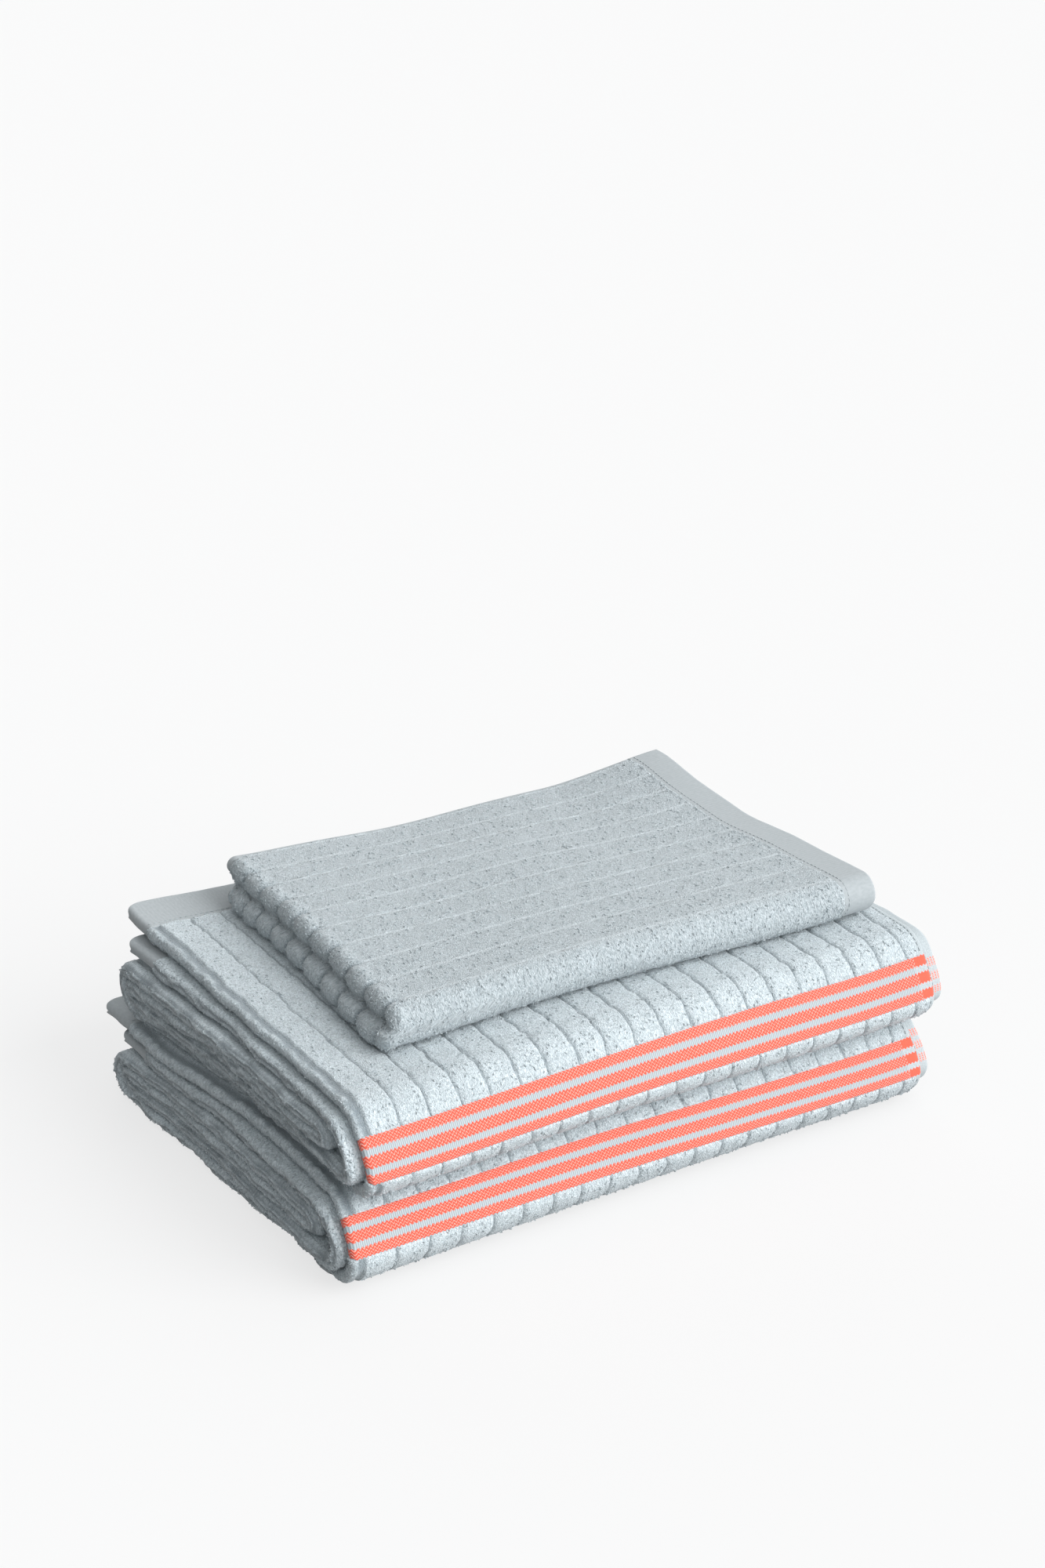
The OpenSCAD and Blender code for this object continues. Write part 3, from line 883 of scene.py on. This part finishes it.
def painted(tree, shader, tone, height, strength, distance):
    """Joins a colour and a bump of this height to a shader."""
    bump = node(tree, "ShaderNodeBump", {"Height": height, "Strength": strength,
                                         "Distance": distance})
    tree.links.new(tone, shader.inputs["Base Color"])
    tree.links.new(bump.outputs[0], shader.inputs["Normal"])


# Its second argument weighs a pale painted highlight along the hand towel's flat grooves, where light
# catches the smooth ground.
def terry_material(name, groove_highlight_amount, tone_level):
    """Cotton terry: uncut loops about 1 mm apart, matt and soft; its colour follows the bump's noises,
    so the loop tips are painted lighter and the gaps between them darker: painted shade.
    """
    made, tree, shader, uv = new_material(name, 0.95, 0.3)
    at = node(tree, "ShaderNodeMapping",
              {"Vector": uv, "Scale": (1 / (0.95 * MM), 1 / (1.1 * MM), 1)})
    warp = node(tree, NOISE, {"Vector": at, "Scale": 0.9, "Detail": 2.0})
    bent = node(tree, "ShaderNodeVectorMath", {0: at, 1: warp.outputs["Color"]}, operation="ADD")
    loops, own = [node(tree, "ShaderNodeTexVoronoi", {"Vector": bent, "Scale": 1.0},
                       voronoi_dimensions="2D", feature=feature)
                  for feature in ("DISTANCE_TO_EDGE", "F1")]
    fibre = node(tree, NOISE, {"Vector": at, "Scale": 1.8, "Detail": 3.0})
    patch = node(tree, NOISE, {"Vector": at, "Scale": 0.12, "Detail": 4.0})
    marks = node(tree, NOISE, {"Vector": at, "Scale": 0.95, "Detail": 2.0, "Distortion": 0.8})
    # The tone and the thread level below follow the same noises as the bump, so the pile's high tips are
    # painted lighter and its low gaps darker: painted shade.
    tone = node(tree, RAMP, {"Fac": marks}, [(0.32, "#aab5bb"), (0.45, "#bcc7cc"),
                                             (0.58, "#cdd7dc"), (0.75, "#d8e1e5")])
    split = node(tree, "ShaderNodeSeparateColor", {0: own.outputs["Color"]})
    spread = node(tree, MATH, {0: split, 1: 0.16, 2: 0.90}, operation="MULTIPLY_ADD")
    cloud = node(tree, "ShaderNodeMapRange", {"Value": patch, "To Min": 0.86, "To Max": 1.12})
    thread = node(tree, "ShaderNodeMapRange", {
        "Value": fibre, "From Min": 0.3, "From Max": 0.7,
        "To Min": 0.86 * tone_level, "To Max": 1.10 * tone_level})
    level = node(tree, MATH, {0: spread, 1: cloud}, operation="MULTIPLY")
    level = node(tree, MATH, {0: level, 1: thread}, operation="MULTIPLY")
    last = node(tree, MIX, {6: tone, 7: level, "Factor": 1.0}, data_type="RGBA",
                blend_type="MULTIPLY").outputs[2]
    # The dark mark is painted shade: in the grooves between ribs, in the bare crease channel and between
    # the hand towel's pillows where its ribs go round the fold.
    for mark, code, amount in (("groove", "#717d84", 0.75), ("seam", "#d9e1e5", groove_highlight_amount)):
        found = node(tree, "ShaderNodeAttribute", attribute_name=mark)
        share = node(tree, MATH, {0: found.outputs["Fac"], 1: amount}, operation="MULTIPLY")
        last = node(tree, MIX, {"Factor": share, 6: last, 7: colour(code)},
                    data_type="RGBA").outputs[2]
    round_top = node(tree, MATH, {0: loops, 1: 0.4}, operation="MINIMUM")
    grain = node(tree, MATH, {0: fibre, 1: marks}, operation="ADD")
    height = node(tree, MATH, {0: round_top, 1: 0.7, 2: grain}, operation="MULTIPLY_ADD")
    painted(tree, shader, last, height, 1.0, 0.6 * MM)
    return made


def loop_material(name):
    """The same cotton yarn, seen as single loops: a little paler, as it catches the light."""
    made, tree, shader, _ = new_material(name, 0.95, 0.3)
    at = node(tree, "ShaderNodeTexCoord").outputs["Object"]
    patch = node(tree, NOISE, {"Vector": at, "Scale": 1 / (2.2 * MM), "Detail": 2.0})
    twist = node(tree, NOISE, {"Vector": at, "Scale": 1 / (0.35 * MM), "Detail": 1.0})
    tone = node(tree, RAMP, {"Fac": patch}, [(0.3, "#a2adb2"), (0.5, "#b7c1c5"),
                                             (0.72, "#cad2d5")])
    painted(tree, shader, tone.outputs[0], twist, 0.6, 0.1 * MM)
    return made


def thread_material(name):
    """Spun polyester sewing thread: two-ply twist, slightly glossy."""
    made, tree, shader, _ = new_material(name, 0.55, 0.1)
    at = node(tree, "ShaderNodeTexCoord").outputs["Object"]
    twist = node(tree, "ShaderNodeTexWave", {"Vector": at, "Scale": 1 / (1.2 * MM),
                                             "Distortion": 1.0}).outputs["Fac"]
    tone = node(tree, RAMP, {"Fac": twist}, [(0.2, "#9ba4a8"), (0.8, "#b3babd")])
    painted(tree, shader, tone.outputs[0], twist, 0.5, 0.1 * MM)
    return made


def hem_material(name):
    """Flat-woven cotton: fine picks across the hem, smoother and paler than the pile."""
    made, tree, shader, uv = new_material(name, 0.8, 0.15)
    weft = node(tree, "ShaderNodeMapping",
                {"Vector": uv, "Scale": (1 / (0.9 * MM), 1 / (3 * MM), 1)})
    thread = node(tree, NOISE, {"Vector": weft, "Scale": 1.0, "Detail": 2.0})
    weave = node(tree, "ShaderNodeTexWave", {
        "Vector": uv, "Scale": 1 / (2 * math.pi * 1.1 * MM), "Distortion": 1.5})
    tone = node(tree, RAMP, {"Fac": thread}, [(0.3, "#9fa6a9"), (0.7, "#a9afb2")])
    height = node(tree, MATH, {0: thread, 1: weave.outputs["Fac"]}, operation="ADD")
    painted(tree, shader, tone.outputs[0], height, 0.3, 0.12 * MM)
    return made


def stripe_fac(tree, uv):
    """1 on the three stripes of the border, and the distances along and across it."""
    split = node(tree, "ShaderNodeSeparateXYZ", {0: uv})
    x = split.outputs[0]
    turns = node(tree, MATH, {0: x, 1: 2 * math.pi / FLOAT_PITCH}, operation="MULTIPLY")
    wave = node(tree, MATH, {0: turns}, operation="SINE")
    reach = node(tree, MATH, {0: wave, 1: SCALLOP}, operation="MULTIPLY")
    y = node(tree, MATH, {0: split.outputs[1], 1: reach}, operation="ADD")
    after = node(tree, MATH, {0: y, 1: 0.0}, operation="GREATER_THAN")
    before = node(tree, MATH, {0: y, 1: BORDER_W}, operation="LESS_THAN")
    inside = node(tree, MATH, {0: after, 1: before}, operation="MULTIPLY")
    within = node(tree, MATH, {0: y, 1: STRIPE_STEP}, operation="MODULO")
    on = node(tree, MATH, {0: within, 1: STRIPE_W}, operation="LESS_THAN")
    return node(tree, MATH, {0: inside, 1: on}, operation="MULTIPLY"), x, y


def border_material(name):
    """Dobby-woven band: coral floats in small chevrons on a pale plain weave."""
    made, tree, shader, uv = new_material(name, 0.75, 0.15)
    on, x, y = stripe_fac(tree, uv)
    zig = node(tree, MATH, {0: x, 1: FLOAT_PITCH / 2}, operation="PINGPONG")
    slant = node(tree, MATH, {0: zig, 1: 1.3, 2: y}, operation="MULTIPLY_ADD")
    rows = node(tree, MATH, {0: slant, 1: FLOAT_ROW}, operation="PINGPONG")
    rows = node(tree, MATH, {0: rows, 1: FLOAT_ROW}, operation="DIVIDE")
    uneven = node(tree, NOISE, {"Vector": uv, "Scale": 1 / (1.3 * MM), "Detail": 1.0})
    uneven = node(tree, MATH, {0: uneven, 1: 0.5, 2: -0.25}, operation="MULTIPLY_ADD")
    rows = node(tree, MATH, {0: rows, 1: uneven}, operation="ADD")
    columns = node(tree, MATH, {0: x, 1: GROUND_YARN}, operation="PINGPONG")
    columns = node(tree, MATH, {0: columns, 1: GROUND_YARN}, operation="DIVIDE")
    coral = node(tree, RAMP, {"Fac": rows}, [(0.04, "#f0b5a9"), (0.25, "#ea8372"),
                                             (0.5, "#e65f4a"), (1.0, "#e2543f")])
    ground = node(tree, RAMP, {"Fac": columns}, [(0.0, "#8e989f"), (0.4, "#a9b2b7"),
                                                 (1.0, "#b7bfc3")])
    tone = node(tree, MIX, {"Factor": on, 6: ground, 7: coral}, data_type="RGBA")
    low = node(tree, MATH, {0: columns, 1: 0.5}, operation="MULTIPLY")
    height = node(tree, MIX, {"Factor": on, 2: low, 3: rows})
    painted(tree, shader, tone.outputs[2], height, 0.8, 0.35 * MM)
    return made


def side_hem_material(name, solid):
    """Turned side hem: plain weave; the stripes run on over it, solid on the face side and
    broken into specks on the reverse."""
    made, tree, shader, uv = new_material(name, 0.8, 0.15)
    share, x, y = stripe_fac(tree, uv)
    grain = node(tree, "ShaderNodeMapping",
                 {"Vector": uv, "Scale": (1 / (0.8 * MM), 1 / (1.2 * MM), 1)})
    thread = node(tree, NOISE, {"Vector": grain, "Scale": 1.0, "Detail": 2.0})
    base = node(tree, RAMP, {"Fac": thread}, [(0.3, "#a3acb0"), (0.7, "#b8c0c3")])
    for way, speck, bare in () if solid else ((x, 0.9 * MM, 0.4 * MM), (y, 0.8 * MM, 0.25 * MM)):
        fold = node(tree, MATH, {0: way, 1: speck}, operation="PINGPONG")
        kept = node(tree, MATH, {0: fold, 1: bare}, operation="GREATER_THAN")
        share = node(tree, MATH, {0: share, 1: kept}, operation="MULTIPLY")
    coral = colour("#ea5f49" if solid else "#ff7f6c")
    tone = node(tree, MIX, {"Factor": share, 6: base, 7: coral}, data_type="RGBA")
    painted(tree, shader, tone.outputs[2], thread, 0.5, 0.3 * MM)
    return made


def board_material(name, albedo, glow):
    """Opal acrylic: matt white, lit a little from behind, as on a shadow-free product table."""
    made = bpy.data.materials.new(name)
    made.use_nodes = True
    shader = made.node_tree.nodes["Principled BSDF"]
    for key, value in (("Base Color", (albedo, albedo, albedo, 1)), ("Roughness", 0.9),
                       ("Specular IOR Level", 0.0), ("Emission Color", colour("#ffffff")),
                       ("Emission Strength", glow)):
        shader.inputs[key].default_value = value
    return made


# ---- Building the set ---------------------------------------------------------------------

def give(obj, material):
    obj.data.materials.clear()
    obj.data.materials.append(material)
    return obj


MATERIALS = {
    "terry": terry_material("bath_terry_cotton_loops", 0.0, 1.05),
    "hand_terry": terry_material("hand_terry_cotton_loops", 0.45, 0.81),
    "loops": loop_material("cotton_yarn_loops"),
    "thread": thread_material("spun_sewing_thread"),
    "border": border_material("woven_coral_stripe_border"),
    "hem": hem_material("flat_woven_cotton_hem"),
    "face_side": side_hem_material("side_hem_face_weave", True),
    "under_side": side_hem_material("side_hem_reverse_weave", False),
}

# How far each layer has crept out, mm, at the twelve ends of the runs and bends of its fold line
LOWER_SLIDES = (np.array([-17, 4, -2, -16, -17, -5, -5, -17, -16, -5, -4, -14], float),
                np.array([1, 0, 1, 4, 4, 3, 2, 5, 4, 2, 0, 2], float))
UPPER_SLIDES = (np.array([-3, 5, 5, -12, -15, -4, -4, -16, -14, -1, 0, -10], float),
                np.array([0, 0, 1, 4, 2, 3, 3, 4, 2, 1, 0, 2], float))


def show(obj, towel, slot, *replaced):
    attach(obj, towel.body)
    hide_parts(*replaced)


def build(towel, cloth, stitches):
    """Makes a towel's pieces. cloth lists them, the terry first: maker, its arguments, material,
    slot and CAD node. Returns the terry and the pieces that go with it."""
    made = [give(maker(towel, *which), MATERIALS[paint]) for maker, which, paint, _, _ in cloth]
    loops = grown(f"{towel.name}_pile_loops", made[0], loops_tree(MATERIALS["loops"]))
    sewn = stitches(towel)
    show(made[0], towel, "terry_cotton", f"{towel.name}_terry")
    show(loops, towel, "terry_cotton")
    show(sewn, towel, "sewing_thread", f"{towel.name}_hem_thread")
    for obj, (_, _, _, slot, cad) in zip(made[1:], cloth[1:]):
        show(obj, towel, slot, f"{towel.name}_{cad}")
    return made[0], made[1:] + [loops, sewn]


BATH_CLOTH = [
    (bath_terry, (), "terry", "terry_cotton", "terry"),
    (bath_border, (), "border", "striped_border", "striped_border"),
    (bath_end_hem, ("outer",), "hem", "flat_woven_hem", "outer_end_hem"),
    (bath_end_hem, ("inner",), "hem", "flat_woven_hem", "inner_end_hem"),
    (bath_side_hem, ("face",), "face_side", "flat_woven_hem", "face_side_hem"),
    (bath_side_hem, ("under",), "under_side", "flat_woven_hem", "under_side_hem"),
]
HAND_CLOTH = [
    (hand_terry, (), "hand_terry", "terry_cotton", "terry"),
    (hand_end_hem, ("outer",), "hem", "flat_woven_hem", "outer_end_hem"),
    (hand_end_hem, ("inner",), "hem", "flat_woven_hem", "inner_end_hem"),
    (hand_side_hem, ("face",), "hem", "flat_woven_hem", "face_side_hem"),
    (hand_side_hem, ("under",), "hem", "flat_woven_hem", "under_side_hem"),
]


lower = measure_bath("lower_towel", "lower_bath_towel", 11, LOWER_SLIDES, 3.0 * MM, 3.5 * MM, 0.0,
                     1.3)
upper = measure_bath("upper_towel", "upper_bath_towel", 12, UPPER_SLIDES, 4.6 * MM, -1.6 * MM,
                     6.5 * MM, 1.45)
hand = measure_hand("hand_towel", "hand_towel", 13)

lower_terry, lower_parts = build(lower, BATH_CLOTH, bath_stitches)
upper_terry, upper_parts = build(upper, BATH_CLOTH, bath_stitches)
hand_terry_piece, hand_parts = build(hand, HAND_CLOTH, hand_stitches)


# ---- Studio -------------------------------------------------------------------------------

def studio_board(name, bm_maker, material):
    """A board that the lens sees, but that throws no light back on the towels."""
    work = bmesh.new()
    bm_maker(work)
    me = bpy.data.meshes.new(name)
    work.to_mesh(me)
    work.free()
    obj = linked(name, me)
    obj.visible_diffuse = False
    obj.visible_shadow = False
    give(obj, material)


def floor_shape(work):
    bmesh.ops.create_grid(work, x_segments=1, y_segments=1, size=STUDIO_SIZE)
    bmesh.ops.translate(work, verts=work.verts, vec=(0, 0, -0.1 * MM))


def backdrop_shape(work):
    bmesh.ops.create_uvsphere(work, u_segments=32, v_segments=16, radius=STUDIO_SIZE * 0.9)
    bmesh.ops.reverse_faces(work, faces=work.faces)


def studio_sky():
    """One big soft box on the right and in front, and a dim room on the left."""
    world = bpy.data.worlds.new("studio")
    world.use_nodes = True
    tree = world.node_tree
    back = tree.nodes["Background"]
    back.inputs["Color"].default_value = colour("#f8fafb")
    way = node(tree, "ShaderNodeTexCoord").outputs["Generated"]
    facing = node(tree, "ShaderNodeVectorMath", {0: way, 1: KEY_FROM.normalized()},
                  operation="DOT_PRODUCT")
    box = node(tree, "ShaderNodeMapRange", {
        "Value": facing.outputs["Value"], "From Min": -0.6, "From Max": 0.9,
        "To Min": ROOM_LIGHT, "To Max": BOX_LIGHT}, interpolation_type="SMOOTHSTEP")
    tree.links.new(box.outputs[0], back.inputs["Strength"])
    bpy.context.scene.world = world


def studio_light():
    studio_sky()
    for name, energy, source in (("soft_key", KEY_LIGHT, KEY_FROM),
                                 ("soft_fill", FILL_LIGHT, FILL_FROM)):
        lamp = bpy.data.lights.new(name, "SUN")
        lamp.energy = energy
        lamp.angle = SUN_ANGLE
        linked(name, lamp).rotation_euler = source.to_track_quat("Z", "Y").to_euler()


def studio_camera():
    data = bpy.data.cameras.new("studio_camera")
    data.sensor_width = 36
    data.lens = LENS
    camera = linked("studio_camera", data)
    camera.location = CAMERA_AT
    camera.rotation_euler = CAMERA_LOOKS.to_track_quat("-Z", "Y").to_euler()
    bpy.context.scene.camera = camera


studio_board("studio_floor", floor_shape, board_material("opal_acrylic_table", TABLE_ALBEDO,
                                                         FLOOR_GLOW))
studio_board("studio_backdrop", backdrop_shape, board_material("opal_acrylic_wall", 0.0,
                                                            WALL_GLOW))
studio_light()
studio_camera()
bpy.context.scene.view_settings.view_transform = "Standard"
